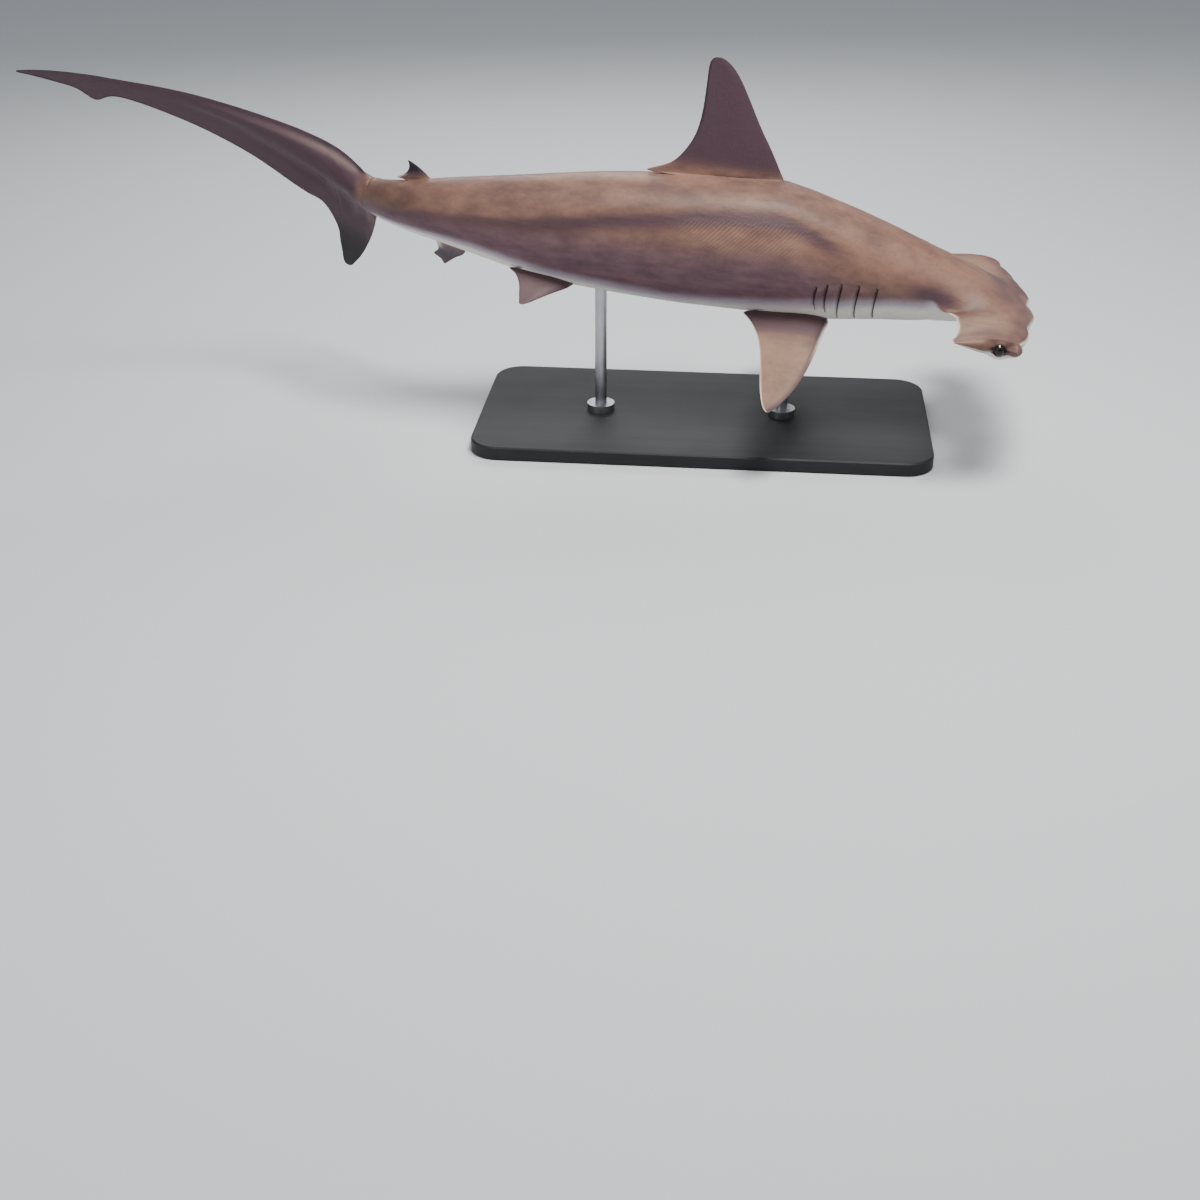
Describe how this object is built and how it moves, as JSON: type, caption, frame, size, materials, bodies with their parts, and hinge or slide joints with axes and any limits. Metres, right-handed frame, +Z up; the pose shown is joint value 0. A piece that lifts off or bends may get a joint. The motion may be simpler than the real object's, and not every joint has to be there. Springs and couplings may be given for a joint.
{
  "type": "hammerhead shark",
  "caption": "Still life-size scalloped hammerhead shark, swimming with its tail bent, held on round rods over a flat display base.",
  "frame": {"origin": "centre of the underside of the stand's flat base", "axes": "+X towards the head, +Y to the shark's left, +Z up; metres"},
  "size_m": [2.1682, 0.6171, 0.788],
  "materials": {
    "body_skin": "bronze brown back over a pale belly, fine rough skin",
    "gill_skin": "soft satin skin",
    "fin_skin": "bronze brown, thin dark rear edges",
    "dusky_fin_skin": "dusky skin, darkest at the tip",
    "eye": "polished, dark pupil in a grey ring",
    "stand_board": "painted satin black",
    "stand_metal": "satin brushed"
  },
  "bodies": {
    "root": {"head": "body_skin", "neck": "body_skin", "torso_front": "body_skin", "torso_rear": "body_skin", "tail_stalk": "body_skin", "eye_left": "eye", "eye_right": "eye", "gill_flap_left_1": "gill_skin", "gill_flap_left_2": "gill_skin", "gill_flap_left_3": "gill_skin", "gill_flap_left_4": "gill_skin", "gill_flap_left_5": "gill_skin", "gill_flap_right_1": "gill_skin", "gill_flap_right_2": "gill_skin", "gill_flap_right_3": "gill_skin", "gill_flap_right_4": "gill_skin", "gill_flap_right_5": "gill_skin", "dorsal_fin_1": "fin_skin", "pectoral_fin_left": "fin_skin", "pectoral_fin_right": "fin_skin", "pelvic_fin_left": "fin_skin", "pelvic_fin_right": "fin_skin", "caudal_upper_lobe": "fin_skin", "dorsal_fin_2": "dusky_fin_skin", "anal_fin": "dusky_fin_skin", "caudal_lower_lobe": "dusky_fin_skin", "stand_base": "stand_board", "stand_rod_front": "stand_metal", "stand_rod_rear": "stand_metal"}
  },
  "joints": []
}
